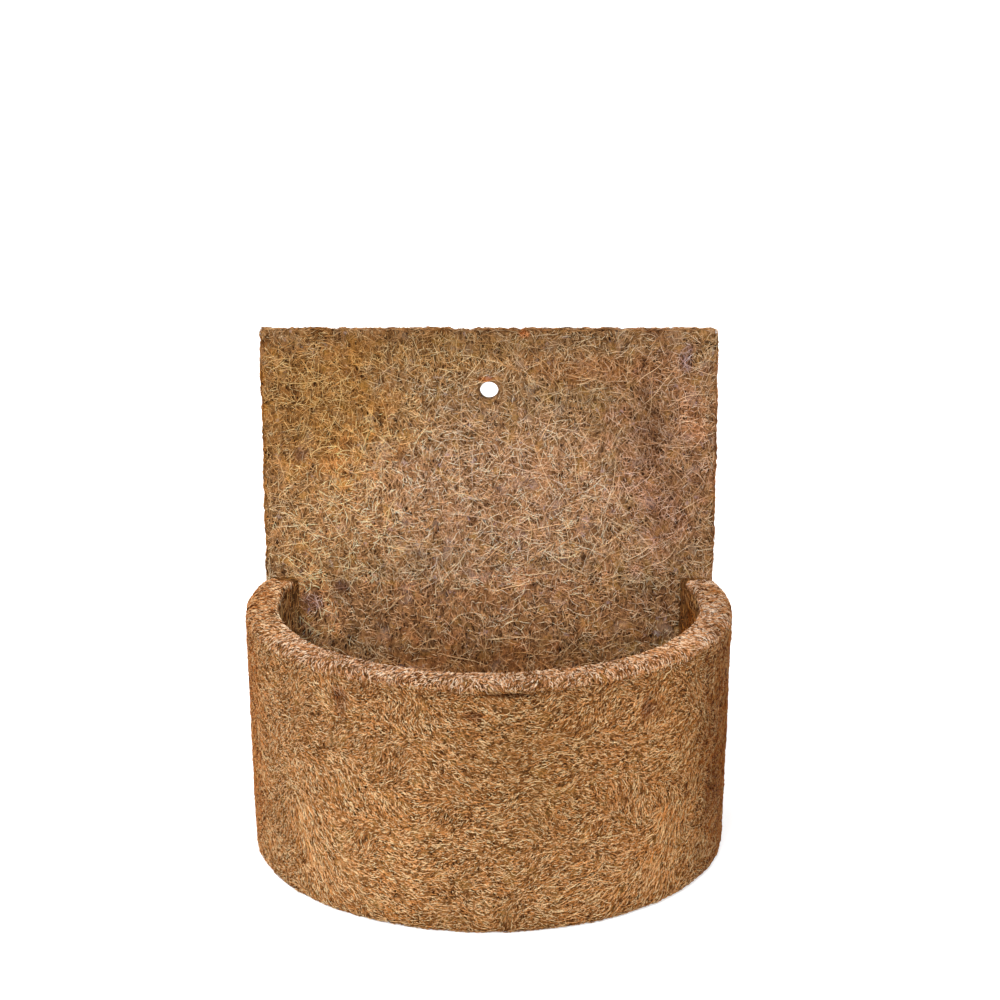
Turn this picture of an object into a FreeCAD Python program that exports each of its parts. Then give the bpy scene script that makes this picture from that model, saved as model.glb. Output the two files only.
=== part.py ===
import FreeCAD, Part
import os

import Sketcher

# A wall planter of coir felt. A flat back panel hangs from one punched hole. In front of its
# lower half stands a D-shaped bowl: a thick felt wall bent round to the panel's two side edges,
# and a felt base inside its foot. Films of cured latex bond the pieces to each other.
#
# Millimetres. The origin is the centre of the hanging hole on the panel's rear face, which lies
# on the wall. +Z is up, +X is to the right as seen from the front, and the bowl reaches to -Y.

SIZES = [
    ("panel_width", 250, "back panel, side to side"),
    ("panel_height", 279, "back panel, top to bottom"),
    ("panel_thickness", 6, "felt of the back panel"),
    ("hole_diameter", 10, "hanging hole, punched through the panel"),
    ("hole_drop", 35, "panel's top edge down to the hole's centre"),
    ("bowl_height", 137, "bowl wall, foot to rim"),
    ("bowl_reach", 172, "bowl wall, from its bonded ends to the front of its rim"),
    ("wall_thickness", 17, "felt of the bowl wall"),
    ("wall_taper", 3, "how far the wall leans in from rim to foot"),
    ("rim_outer_round", 5, "radius of the rim's outer edge"),
    ("rim_inner_round", 2.5, "radius of the rim's inner edge"),
    ("foot_round", 4, "radius of the foot's outer edge"),
    ("base_thickness", 15, "felt of the base"),
    ("bond_thickness", 0.6, "film of cured latex between two pieces"),
    ("bond_inset", 2, "how far a film stays back from an edge that shows"),
]

doc = FreeCAD.newDocument("wall_planter")
sheet = doc.addObject("Spreadsheet::Sheet", "Sizes")
for row, (alias, value, meaning) in enumerate(SIZES, start=1):
    sheet.set(f"A{row}", meaning)
    sheet.set(f"B{row}", str(value))
    sheet.setAlias(f"B{row}", alias)
doc.recompute()

# The wall's outer face is round in plan, and passes through the panel's two side edges and the
# front of the rim. That gives its radius, and how far its axis stands in front of its ends.
RIM_RADIUS = "(Sizes.panel_width ^ 2 / 4 + Sizes.bowl_reach ^ 2) / (2 * Sizes.bowl_reach)"
AXIS_DISTANCE = f"(Sizes.bowl_reach - {RIM_RADIUS})"
FOOT_HEIGHT = "(Sizes.hole_drop - Sizes.panel_height)"
BOND_FRONT = "(-Sizes.panel_thickness - Sizes.bond_thickness)"


def outer_radius(height):
    """The wall's outer radius at a height above the foot, as an expression."""
    return f"({RIM_RADIUS} - Sizes.wall_taper * (1 - ({height}) / Sizes.bowl_height))"


def inner_radius(height):
    """The wall's inner radius at a height above the foot."""
    return f"({outer_radius(height)} - Sizes.wall_thickness)"


def half_chord(radius):
    """Half the width of a circle of this radius, where the plane of the bonds cuts it."""
    return f"sqrt(({radius}) ^ 2 - {AXIS_DISTANCE} ^ 2)"


def new_body(name, z="0", y="0"):
    body = doc.addObject("PartDesign::Body", name)
    body.Label = name
    body.setExpression("Placement.Base.y", y)
    body.setExpression("Placement.Base.z", z)
    return body


def new_sketch(body, name, role):
    plane = next(f for f in body.Origin.OriginFeatures if f.Role == role)
    sketch = body.newObject("Sketcher::SketchObject", name)
    sketch.AttachmentSupport = [(plane, "")]
    sketch.MapMode = "FlatFace"
    return sketch


def bind_distance(sketch, kind, line, expression):
    """Holds the start of a line at a distance from the sketch's origin, along one of its axes."""
    if expression == "0":
        axis = -2 if kind == "DistanceX" else -1
        sketch.addConstraint(Sketcher.Constraint("PointOnObject", line, 1, axis))
        return
    value = float(sketch.evalExpression(expression))
    number = sketch.addConstraint(Sketcher.Constraint(kind, -1, 1, line, 1, value))
    sketch.setExpression(f"Constraints[{number}]", expression)


def draw_outline(sketch, corners):
    """A closed outline of straight lines. Each corner is a pair of expressions."""
    points = [
        FreeCAD.Vector(*(float(sketch.evalExpression(e)) for e in corner), 0)
        for corner in corners
    ]
    count = len(points)
    for i in range(count):
        sketch.addGeometry(Part.LineSegment(points[i], points[(i + 1) % count]), False)
    for i in range(count):
        sketch.addConstraint(Sketcher.Constraint("Coincident", i, 2, (i + 1) % count, 1))
    for i, (across, along) in enumerate(corners):
        bind_distance(sketch, "DistanceX", i, across)
        bind_distance(sketch, "DistanceY", i, along)


def add_pad(body, sketch, name, length):
    pad = body.newObject("PartDesign::Pad", name)
    pad.Profile = sketch
    pad.setExpression("Length", length)
    return pad


def add_revolution(body, sketch, name):
    """A full turn of the sketch about its own vertical axis, which is the bowl's axis."""
    turned = body.newObject("PartDesign::Revolution", name)
    turned.Profile = sketch
    turned.ReferenceAxis = (sketch, ["V_Axis"])
    turned.Angle = 360
    doc.recompute()
    return turned


def add_fillet(body, base, name, radius, height, size):
    """Rounds the circular edge of this radius that lies at this height above the foot."""
    wanted_radius = float(body.evalExpression(radius))
    wanted_height = float(body.evalExpression(height))
    edge = next(
        f"Edge{i}"
        for i, e in enumerate(base.Shape.Edges, start=1)
        if isinstance(e.Curve, Part.Circle)
        and abs(e.Curve.Radius - wanted_radius) < 1e-6
        and abs(e.Curve.Center.z - wanted_height) < 1e-6
    )
    fillet = body.newObject("PartDesign::Fillet", name)
    fillet.Base = (base, [edge])
    fillet.setExpression("Radius", size)
    doc.recompute()
    return fillet


def cut_at_bonds(body, name):
    """Takes away what a turned piece has behind the plane where the wall's ends are bonded."""
    sketch = new_sketch(body, f"{name}_outline", "XY_Plane")
    side = f"({RIM_RADIUS} + Sizes.wall_thickness)"
    corners = [
        (f"-{side}", AXIS_DISTANCE),
        (side, AXIS_DISTANCE),
        (side, side),
        (f"-{side}", side),
    ]
    draw_outline(sketch, corners)
    pocket = body.newObject("PartDesign::Pocket", name)
    pocket.Profile = sketch
    pocket.Type = "ThroughAll"
    pocket.Reversed = True
    doc.recompute()
    return pocket


def make_back_panel():
    body = new_body("back_panel", z=FOOT_HEIGHT)
    outline = new_sketch(body, "panel_outline", "XZ_Plane")
    side = "Sizes.panel_width / 2"
    corners = [
        (f"-{side}", "0"),
        (side, "0"),
        (side, "Sizes.panel_height"),
        (f"-{side}", "Sizes.panel_height"),
    ]
    draw_outline(outline, corners)
    add_pad(body, outline, "panel_sheet", "Sizes.panel_thickness")
    doc.recompute()

    punch = new_sketch(body, "hole_outline", "XZ_Plane")
    height = "Sizes.panel_height - Sizes.hole_drop"
    centre = FreeCAD.Vector(0, float(body.evalExpression(height)), 0)
    radius = sheet.hole_diameter / 2
    punch.addGeometry(Part.Circle(centre, FreeCAD.Vector(0, 0, 1), radius), False)
    punch.addConstraint(Sketcher.Constraint("PointOnObject", 0, 3, -2))
    rise = punch.addConstraint(Sketcher.Constraint("DistanceY", -1, 1, 0, 3, centre.y))
    punch.setExpression(f"Constraints[{rise}]", height)
    width = punch.addConstraint(Sketcher.Constraint("Diameter", 0, 2 * radius))
    punch.setExpression(f"Constraints[{width}]", "Sizes.hole_diameter")
    hole = body.newObject("PartDesign::Pocket", "hanging_hole")
    hole.Profile = punch
    hole.Type = "ThroughAll"
    hole.Reversed = True
    return body


def turned_body(name):
    """A body whose own Z axis is the bowl's axis, with the foot at its height 0."""
    return new_body(name, z=FOOT_HEIGHT, y=f"{BOND_FRONT} - {AXIS_DISTANCE}")


def make_bowl_wall():
    body = turned_body("bowl_wall")
    profile = new_sketch(body, "wall_profile", "XZ_Plane")
    top = "Sizes.bowl_height"
    corners = [
        (inner_radius("0"), "0"),
        (outer_radius("0"), "0"),
        (outer_radius(top), top),
        (inner_radius(top), top),
    ]
    draw_outline(profile, corners)
    ring = add_revolution(body, profile, "wall_ring")
    rim = add_fillet(body, ring, "rim_outer_edge", outer_radius(top), top, "Sizes.rim_outer_round")
    rim = add_fillet(body, rim, "rim_inner_edge", inner_radius(top), top, "Sizes.rim_inner_round")
    add_fillet(body, rim, "foot_edge", outer_radius("0"), "0", "Sizes.foot_round")
    cut_at_bonds(body, "wall_ends")
    return body


def make_bowl_base():
    """A D-shaped plate inside the wall's foot, with room all round for the latex."""
    body = turned_body("bowl_base")
    profile = new_sketch(body, "base_profile", "XZ_Plane")
    top = "Sizes.base_thickness"
    corners = [
        ("0", "0"),
        (f"{inner_radius('0')} - Sizes.bond_thickness", "0"),
        (f"{inner_radius(top)} - Sizes.bond_thickness", top),
        ("0", top),
    ]
    draw_outline(profile, corners)
    add_revolution(body, profile, "base_disc")
    cut_at_bonds(body, "base_back_edge")
    return body


def make_base_rim_bond():
    """The film between the base's round edge and the inside of the wall."""
    body = turned_body("base_rim_bond")
    profile = new_sketch(body, "base_rim_bond_profile", "XZ_Plane")
    low = "Sizes.bond_inset"
    high = "Sizes.base_thickness - Sizes.bond_inset"
    corners = [
        (f"{inner_radius(low)} - Sizes.bond_thickness", low),
        (inner_radius(low), low),
        (inner_radius(high), high),
        (f"{inner_radius(high)} - Sizes.bond_thickness", high),
    ]
    draw_outline(profile, corners)
    add_revolution(body, profile, "base_rim_film")
    cut_at_bonds(body, "base_rim_film_ends")
    return body


def flat_bond(name, corners):
    """A film on the panel's front face, with the outline of what it bonds there."""
    body = new_body(name, z=FOOT_HEIGHT, y="-Sizes.panel_thickness")
    outline = new_sketch(body, f"{name}_outline", "XZ_Plane")
    draw_outline(outline, corners)
    add_pad(body, outline, f"{name}_film", "Sizes.bond_thickness")
    return body


def make_base_back_bond():
    """The film between the base's straight edge and the panel."""
    low = "Sizes.bond_inset"
    high = "Sizes.base_thickness - Sizes.bond_inset"
    wide_low = half_chord(f"{inner_radius(low)} - Sizes.bond_thickness")
    wide_high = half_chord(f"{inner_radius(high)} - Sizes.bond_thickness")
    corners = [
        (f"-{wide_low}", low),
        (wide_low, low),
        (wide_high, high),
        (f"-{wide_high}", high),
    ]
    return flat_bond("base_back_bond", corners)


def make_wall_bond(name, side):
    """The film between one end of the wall and the panel. side is "" for right, "-" for left."""
    low = "Sizes.foot_round"
    high = "Sizes.bowl_height - Sizes.rim_outer_round"
    corners = [
        (f"{side}{half_chord(inner_radius(low) + ' + Sizes.bond_inset')}", low),
        (f"{side}{half_chord(outer_radius(low) + ' - Sizes.bond_inset')}", low),
        (f"{side}{half_chord(outer_radius(high) + ' - Sizes.bond_inset')}", high),
        (f"{side}{half_chord(inner_radius(high) + ' + Sizes.bond_inset')}", high),
    ]
    return flat_bond(name, corners)


pieces = [
    make_back_panel(),
    make_bowl_wall(),
    make_bowl_base(),
    make_wall_bond("left_wall_bond", "-"),
    make_wall_bond("right_wall_bond", ""),
    make_base_rim_bond(),
    make_base_back_bond(),
]
doc.recompute()

for item in doc.Objects:
    failed = {"Invalid", "Error"} & set(item.State)
    if failed:
        raise RuntimeError(f"{item.Name} is {sorted(failed)}")
    if item.isDerivedFrom("PartDesign::Pocket"):
        if item.Shape.Volume >= item.BaseFeature.Shape.Volume:
            raise RuntimeError(f"{item.Name} cuts nothing")

os.makedirs("parts", exist_ok=True)
for piece in pieces:
    shape = piece.Shape
    if shape.isNull() or not shape.isValid() or len(shape.Solids) != 1:
        raise RuntimeError(f"{piece.Label} isn't one valid solid")
    shape.exportStep(f"parts/{piece.Label}.step")
    box = shape.optimalBoundingBox()
    print(
        f"{piece.Label}: {shape.Volume:.0f} mm3,",
        f"x {box.XMin:.1f} to {box.XMax:.1f},",
        f"y {box.YMin:.1f} to {box.YMax:.1f},",
        f"z {box.ZMin:.1f} to {box.ZMax:.1f}",
    )
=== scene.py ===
import math

import bmesh
import bpy
import numpy as np
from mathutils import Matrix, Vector, noise


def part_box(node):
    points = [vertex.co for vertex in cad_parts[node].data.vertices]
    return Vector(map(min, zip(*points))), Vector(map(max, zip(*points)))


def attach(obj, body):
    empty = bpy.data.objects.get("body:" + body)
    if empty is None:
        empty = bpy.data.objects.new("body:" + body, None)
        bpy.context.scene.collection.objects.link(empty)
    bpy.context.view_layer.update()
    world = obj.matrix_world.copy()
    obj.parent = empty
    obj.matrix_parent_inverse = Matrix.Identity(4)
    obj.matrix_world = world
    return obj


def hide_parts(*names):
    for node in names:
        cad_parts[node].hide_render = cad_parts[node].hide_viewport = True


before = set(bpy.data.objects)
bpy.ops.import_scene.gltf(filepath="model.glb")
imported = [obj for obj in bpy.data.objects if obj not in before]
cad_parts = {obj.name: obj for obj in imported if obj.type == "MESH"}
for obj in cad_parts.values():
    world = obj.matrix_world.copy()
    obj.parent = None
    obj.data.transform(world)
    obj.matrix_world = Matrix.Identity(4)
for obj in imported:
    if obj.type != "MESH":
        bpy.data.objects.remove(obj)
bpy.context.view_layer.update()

# -------- sizes in metres, in the frame of the CAD model
MM = 0.001
PANEL_LOW, PANEL_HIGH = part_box("back_panel")
PANEL_FRONT = PANEL_LOW[1]
PANEL_HALF = PANEL_HIGH[0]
PANEL_TOP = PANEL_HIGH[2]
PANEL_MIDDLE = 0.5 * PANEL_FRONT
FOOT = PANEL_LOW[2]
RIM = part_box("bowl_wall")[1][2]
BASE_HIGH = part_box("bowl_base")[1]
BASE_RADIUS = BASE_HIGH[0]
BASE_TOP = BASE_HIGH[2]
HOLE_RADIUS = 5.0 * MM
WALL_THICK = 17.0 * MM
WALL_TAPER = 3.0 * MM
BOWL_REACH = 172.0 * MM
WALL_END = PANEL_FRONT - 0.6 * MM
CUT_AT_PANEL = PANEL_FRONT - 0.15 * MM
RIM_ROUND = 5.0 * MM
LIP_ROUND = 2.5 * MM
FOOT_ROUND = 4.0 * MM
RIM_RADIUS = (PANEL_HALF ** 2 + BOWL_REACH ** 2) / (2.0 * BOWL_REACH)
AXIS_Y = WALL_END - BOWL_REACH + RIM_RADIUS
BODY = "root"


# -------- small helpers
def place(name, data):
    """A new object in the scene."""
    made = bpy.data.objects.new(name, data)
    bpy.context.scene.collection.objects.link(made)
    return made


def keep_piece(name, mesh, material, stands_for):
    piece = place(name, mesh)
    mesh.materials.append(material)
    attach(piece, BODY)
    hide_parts(*stands_for)


def mesh_from(shape, name, smooth=True):
    mesh = bpy.data.meshes.new(name)
    shape.to_mesh(mesh)
    shape.free()
    mesh.polygons.foreach_set("use_smooth", [smooth] * len(mesh.polygons))
    return mesh


def lumps(point, seed, sizes):
    """Soft lumps of pressed felt: noise of several sizes, each given as (size, height) in metres."""
    shift = Vector((seed * 7.3, seed * 3.1, seed * 5.7))
    return sum(height * noise.noise(point / size + shift) for size, height in sizes)


def fade(away):
    """1 near the middle of a place and 0 from its edge on, which is 1 away."""
    return np.clip(1.5 - 1.5 * away, 0.0, 1.0)


# -------- the felt boards
BOARD_LUMPS = ((16 * MM, 0.45 * MM), (5.5 * MM, 0.40 * MM))
FELT_LUMPS = (*BOARD_LUMPS, (2.4 * MM, 0.30 * MM))
SUNK = 0.30 * MM                        # the pressed board lies this far below the fibres that cover it
FRAY = ((9 * MM, 0.6 * MM), (2.6 * MM, 0.8 * MM))
FRAYED_BACK = 0.2 * MM
EDGE_BAND = 3.0 * MM                    # the cut edges are frayed this far in
TOP_WORN = 0.6 * MM
TOP_NOTCHES = (                         # in millimetres: across, half width, depth
    (-18.7, 2.0, 1.2), (-10.4, 1.8, 1.2), (17.0, 1.4, 0.7),
)


def notch_at(x):
    """How far the top edge is worn or torn back at a place across the panel."""
    torn = 0.0
    for middle, half, deep in TOP_NOTCHES:
        torn = torn + deep * MM * fade(np.abs(x - middle * MM) / (half * MM))
    return torn + TOP_WORN


def roughen(shape, shift):
    """Moves each point of a board by what shift gives for it, once every move is known."""
    bmesh.ops.recalc_face_normals(shape, faces=shape.faces[:])
    shape.normal_update()
    moves = [(vert, shift(vert)) for vert in shape.verts]
    for vert, move in moves:
        vert.co += move


def cut_at_panel(shape):
    """Cuts a board off flat where it meets the panel, and closes the cut."""
    bmesh.ops.bisect_plane(shape, geom=shape.verts[:] + shape.edges[:] + shape.faces[:], dist=1e-6,
                           plane_co=(0, CUT_AT_PANEL, 0), plane_no=(0, 1, 0), clear_outer=True)
    bmesh.ops.holes_fill(shape, edges=[e for e in shape.edges if e.is_boundary], sides=0)


def panel_sheet():
    """The back panel: a fine grid with the round punched hole drawn in, given its thickness."""
    cell = 1.5 * MM
    window = 9 * MM
    columns = round(2 * PANEL_HALF / cell)
    rows = round((PANEL_TOP - FOOT) / cell)
    shape = bmesh.new()
    bmesh.ops.create_grid(shape, x_segments=columns, y_segments=rows, size=0.5)
    middle = 0.5 * (PANEL_TOP + FOOT)
    for vert in shape.verts:
        x, y = vert.co.x, vert.co.y
        vert.co = Vector((x * 2 * PANEL_HALF, 0.0, middle + y * (PANEL_TOP - FOOT)))
    middles = [(face, face.calc_center_median()) for face in shape.faces]
    inside = [face for face, spot in middles if max(abs(spot.x), abs(spot.z)) < window]
    bmesh.ops.delete(shape, geom=inside, context="FACES")
    border = [e for e in shape.edges if e.is_boundary
              and max(max(abs(v.co.x), abs(v.co.z)) for v in e.verts) < 2 * window]
    drawn_in = bmesh.ops.extrude_edge_only(shape, edges=border)["geom"]
    ring = {g for g in drawn_in if isinstance(g, bmesh.types.BMVert)}
    for vert in ring:
        vert.co = Vector((vert.co.x, 0.0, vert.co.z)).normalized() * HOLE_RADIUS
    spokes = [e for e in shape.edges if (e.verts[0] in ring) != (e.verts[1] in ring)]
    bmesh.ops.subdivide_edges(shape, edges=spokes, cuts=3, use_grid_fill=True)
    made = bmesh.ops.extrude_face_region(shape, geom=shape.faces[:])
    front = [g for g in made["geom"] if isinstance(g, bmesh.types.BMVert)]
    bmesh.ops.translate(shape, verts=front, vec=(0.0, PANEL_FRONT, 0.0))
    across = [e for e in shape.edges if abs(e.verts[0].co.y - e.verts[1].co.y) > 3 * MM]
    bmesh.ops.subdivide_edges(shape, edges=across, cuts=4, use_grid_fill=True)
    bmesh.ops.recalc_face_normals(shape, faces=shape.faces[:])
    return shape


def panel_shift(vert):
    """How a point of the panel moves: by the lumps, and near a cut edge by the fray and a rounded corner."""
    p = vert.co
    depth = min(PANEL_HALF - abs(p.x), PANEL_TOP - p.z, p.z - FOOT)
    move = vert.normal * (lumps(p, 1.0, FELT_LUMPS) * 0.8 - SUNK)
    if math.hypot(p.x, p.z) < HOLE_RADIUS + 1.5 * MM:
        move *= 0.3
    if depth >= EDGE_BAND:
        return move
    edge = 1.0 - depth / EDGE_BAND
    side = Vector()
    if PANEL_HALF - abs(p.x) < EDGE_BAND:
        side.x = math.copysign(1.0, p.x)
    fray = lumps(Vector((p.x, p.y * 0.6, p.z)), 5.0, FRAY) - FRAYED_BACK
    if p.z - FOOT < EDGE_BAND:
        fray *= 0.3
    if PANEL_TOP - p.z < EDGE_BAND:
        side.z = 1.0
        fray -= float(notch_at(p.x))
    move += side * fray * edge
    off_middle = p.y - PANEL_MIDDLE
    if abs(off_middle) > 0.8 * abs(PANEL_MIDDLE) and depth < 1.3 * MM:
        move.y -= math.copysign(0.5 * MM * edge, off_middle)
    return move


def rough_panel():
    shape = panel_sheet()
    roughen(shape, panel_shift)
    bmesh.ops.recalc_face_normals(shape, faces=shape.faces[:])
    return mesh_from(shape, "panel_felt")


def wall_outline():
    """The wall's cross-section as closely spaced (distance from the rim radius, height) points.

    It runs up the outside from the underside of the foot, over the rim and down the inside."""
    slope = WALL_TAPER / (RIM - FOOT)
    step = 0.25 * MM

    def outside(z):
        return (z - RIM) * slope

    def arc(across, up, radius, first, count):
        for turn in np.linspace(first, first + 90, count):
            a = math.radians(turn)
            points.append((across + radius * math.cos(a), up + radius * math.sin(a)))

    points = []
    for r in np.arange(-WALL_THICK, -FOOT_ROUND, step):
        points.append((outside(FOOT) + r, FOOT))
    arc(outside(FOOT) - FOOT_ROUND, FOOT + FOOT_ROUND, FOOT_ROUND, -90, 24)
    for z in np.arange(FOOT + FOOT_ROUND + step, RIM - RIM_ROUND, step):
        points.append((outside(z), z))
    arc(-RIM_ROUND, RIM - RIM_ROUND, RIM_ROUND, 0, 30)
    for r in np.arange(RIM_ROUND + step, WALL_THICK - LIP_ROUND, step):
        points.append((-r, RIM))
    arc(-WALL_THICK + LIP_ROUND, RIM - LIP_ROUND, LIP_ROUND, 90, 16)
    for z in np.arange(RIM - LIP_ROUND - step, FOOT, -step):
        points.append((outside(z) - WALL_THICK, z))
    points.append(points[0])
    points = np.array(points)
    apart = np.hypot(*np.diff(points, axis=0).T) > 1e-6
    return points[np.concatenate([[True], apart])]


OUTLINE = wall_outline()
OUTLINE_RUN = np.concatenate([[0.0], np.cumsum(np.hypot(*np.diff(OUTLINE, axis=0).T))])
OUTLINE_SLOPE = np.gradient(OUTLINE, OUTLINE_RUN, axis=0)


def run_at(height, inside=False):
    """How far along the cross-section a height lies, outside or inside the wall."""
    on_top = np.flatnonzero(OUTLINE[:, 1] > RIM - 1e-7)
    part = slice(len(OUTLINE) - 1, on_top[-1] - 1, -1) if inside else slice(0, on_top[0] + 1)
    return float(np.interp(height, OUTLINE[part, 1], OUTLINE_RUN[part]))


def wall_point(angle, run, rise):
    """A point on the wall: angle from straight ahead, distance along the cross-section, height off it."""
    r, z = [np.interp(run, OUTLINE_RUN, side) for side in OUTLINE.T]
    slope_r, slope_z = [np.interp(run, OUTLINE_RUN, side) for side in OUTLINE_SLOPE.T]
    size = np.hypot(slope_r, slope_z) + 1e-9
    radius = RIM_RADIUS + r + rise * slope_z / size
    height = z - rise * slope_r / size
    return np.stack([radius * np.sin(angle), AXIS_Y - radius * np.cos(angle), height], axis=-1)


WALL_DENTS = (                          # in millimetres: across, height, half width, half height, depth
    (10, -114.5, 16, 2.8, 1.9), (-7, -125, 7, 3.2, 1.3), (-75, -124, 5, 9, 1.3), (82, -130, 5, 8, 1.3),
)


def dent_at(angle, run):
    """How deep the outside of the wall is dented, for a whole array of places."""
    depth = np.zeros(np.shape(run))
    for across, height, wide, high, deep in WALL_DENTS:
        along = RIM_RADIUS * (angle - math.asin(across * MM / RIM_RADIUS))
        away = np.hypot(along / (wide * MM), (run - run_at(height * MM)) / (high * MM))
        depth += deep * MM * np.clip(1.0 - away ** 2, 0.0, 1.0)
    return depth


def wall_ring():
    """The bowl's wall: a grid wrapped round its cross-section, bent round the bowl and cut at the panel."""
    lip_end = run_at(RIM - LIP_ROUND, inside=True) + 2 * MM
    stops = np.concatenate([np.arange(0.0, lip_end, 1.45 * MM), np.linspace(lip_end, OUTLINE_RUN[-1], 52)])
    turns = 340
    half_turn = math.radians(112.0)
    shape = bmesh.new()
    bmesh.ops.create_grid(shape, x_segments=turns, y_segments=len(stops) - 1, size=0.5)
    flat = np.array([vert.co[:] for vert in shape.verts])
    run = np.interp((flat[:, 1] + 0.5) * (len(stops) - 1), np.arange(len(stops)), stops)
    angle = flat[:, 0] * 2 * half_turn
    for vert, spot in zip(shape.verts, wall_point(angle, run, -dent_at(angle, run))):
        vert.co = spot
    bmesh.ops.remove_doubles(shape, verts=shape.verts[:], dist=0.01 * MM)
    cut_at_panel(shape)
    return shape


def wall_shift(vert):
    p = vert.co
    if p.y > CUT_AT_PANEL - 1e-5 or p.z < FOOT + 0.2 * MM:
        return Vector()
    return vert.normal * (lumps(p, 2.0, FELT_LUMPS) - SUNK)


def rough_wall():
    shape = wall_ring()
    roughen(shape, wall_shift)
    return mesh_from(shape, "wall_felt")


def base_shift(vert):
    p = vert.co
    if p.y > PANEL_FRONT - 0.2 * MM or math.hypot(p.x, p.y - AXIS_Y) > BASE_RADIUS - 1 * MM:
        return Vector()
    scale = 1.0 if p.z > FOOT + 1 * MM else 0.3
    return vert.normal * (lumps(p, 3.0, FELT_LUMPS) * scale - SUNK)


def rough_base():
    """The base plate: a radial slice spun round and cut flat at the panel."""
    shape = bmesh.new()
    ins = list(np.arange(0.0, BASE_RADIUS, 2.2 * MM)) + [BASE_RADIUS]
    row = [shape.verts.new((r, AXIS_Y, BASE_TOP)) for r in ins]
    for z in np.linspace(BASE_TOP, FOOT, 8)[1:-1]:
        row.append(shape.verts.new((BASE_RADIUS, AXIS_Y, z)))
    row += [shape.verts.new((r, AXIS_Y, FOOT)) for r in reversed(ins)]
    for one, two in zip(row, row[1:]):
        shape.edges.new((one, two))
    bmesh.ops.spin(shape, geom=shape.verts[:] + shape.edges[:], cent=(0, AXIS_Y, 0), axis=(0, 0, 1),
                   angle=2 * math.pi, steps=240, use_merge=True)
    bmesh.ops.remove_doubles(shape, verts=shape.verts[:], dist=0.01 * MM)
    cut_at_panel(shape)
    roughen(shape, base_shift)
    return mesh_from(shape, "base_felt")


# -------- the loose fibres on the felt
def strand_section():
    """The triangle that is swept along each fibre, 1 mm from middle to corner."""
    curve = bpy.data.curves.new("strand_section", "CURVE")
    curve.dimensions = "2D"
    spline = curve.splines.new("POLY")
    spline.points.add(2)
    for k in range(3):
        turn = math.radians(90 + 120 * k)
        spline.points[k].co = (MM * math.cos(turn), MM * math.sin(turn), 0.0, 1.0)
    spline.use_cyclic_u = True
    return place("strand_section", curve)


def swept_strands(name, paths, radii):
    """A mesh of many fibres: each path is swept with the triangle and thins to a point at both ends."""
    count, points = paths.shape[:2]
    section = strand_section()
    curve = bpy.data.curves.new(name, "CURVE")
    curve.dimensions = "3D"
    curve.bevel_mode = "OBJECT"
    curve.bevel_object = section
    thin = np.array([0.0, 1.0, 0.0] if points == 3 else [0.0, 0.8] + [1.0] * (points - 4) + [0.8, 0.0])
    four = np.concatenate([paths, np.ones((count, points, 1))], axis=2)
    for k in range(count):
        spline = curve.splines.new("POLY")
        spline.points.add(points - 1)
        spline.points.foreach_set("co", four[k].ravel())
        spline.points.foreach_set("radius", thin * radii[k])
    swept = place(name, curve)
    graph = bpy.context.evaluated_depsgraph_get()
    mesh = bpy.data.meshes.new_from_object(swept.evaluated_get(graph), depsgraph=graph)
    bpy.data.objects.remove(swept)
    bpy.data.curves.remove(curve)
    bpy.data.objects.remove(section)
    return mesh


def mark_strands(mesh, count, points, tones):
    """Gives each fibre its own tone, and its own cell on the map named OFBake."""
    ring = points * 3
    casts = np.random.default_rng(count).uniform(0, 1, count)
    for label, values in (("tone", tones), ("cast", casts)):
        layer = mesh.attributes.new(label, "FLOAT", "POINT")
        layer.data.foreach_set("value", np.repeat(values, ring).astype(np.float32))
    corners = np.empty(len(mesh.loops), dtype=np.int32)
    mesh.loops.foreach_get("vertex_index", corners)
    fibre, rest = np.divmod(corners, ring)
    along, side = np.divmod(rest, 3)
    faces = side.reshape(-1, 4)
    wraps = (faces.max(axis=1) == 2) & (faces.min(axis=1) == 0)
    side = np.where(np.repeat(wraps, 4) & (side == 0), 3, side)
    cells = math.ceil(math.sqrt(count))
    row, column = np.divmod(fibre, cells)
    bare_u, bare_v = 0.06, 0.08             # the empty border of each cell
    u = (column + bare_u + (1 - 2 * bare_u) * along / (points - 1)) / cells
    v = (row + bare_v + (1 - 2 * bare_v) * side / 3) / cells
    layer = mesh.uv_layers.new(name="OFBake")
    layer.data.foreach_set("uv", np.stack([u, v], axis=1).astype(np.float32).ravel())


def fibre_piece(name, paths, radii, tones, material, stands_for):
    mesh = swept_strands(name, paths, radii)
    mark_strands(mesh, *paths.shape[:2], tones)
    shape = bmesh.new()
    shape.from_mesh(mesh)
    bmesh.ops.remove_doubles(shape, verts=shape.verts[:], dist=1e-7)
    mesh.clear_geometry()
    shape.to_mesh(mesh)
    shape.free()
    mesh.materials.clear()
    mesh.polygons.foreach_set("use_smooth", [True] * len(mesh.polygons))
    keep_piece(name, mesh, material, stands_for)


WAVES = 1.3                             # how many waves a fibre has from end to end
CURL_UP = (0.10, 0.25)                  # in millimetres, how far a fibre's middle stands above its ends
ENDS_DROP = 2.0
RIPPLE = 0.8


def scattered(rng, count, left, right, low, high, radius=1.0):
    """Random places on a flattened surface, as (along, across)."""
    return np.stack([rng.uniform(left, right, count) * radius, rng.uniform(low, high, count)], axis=1)


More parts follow.
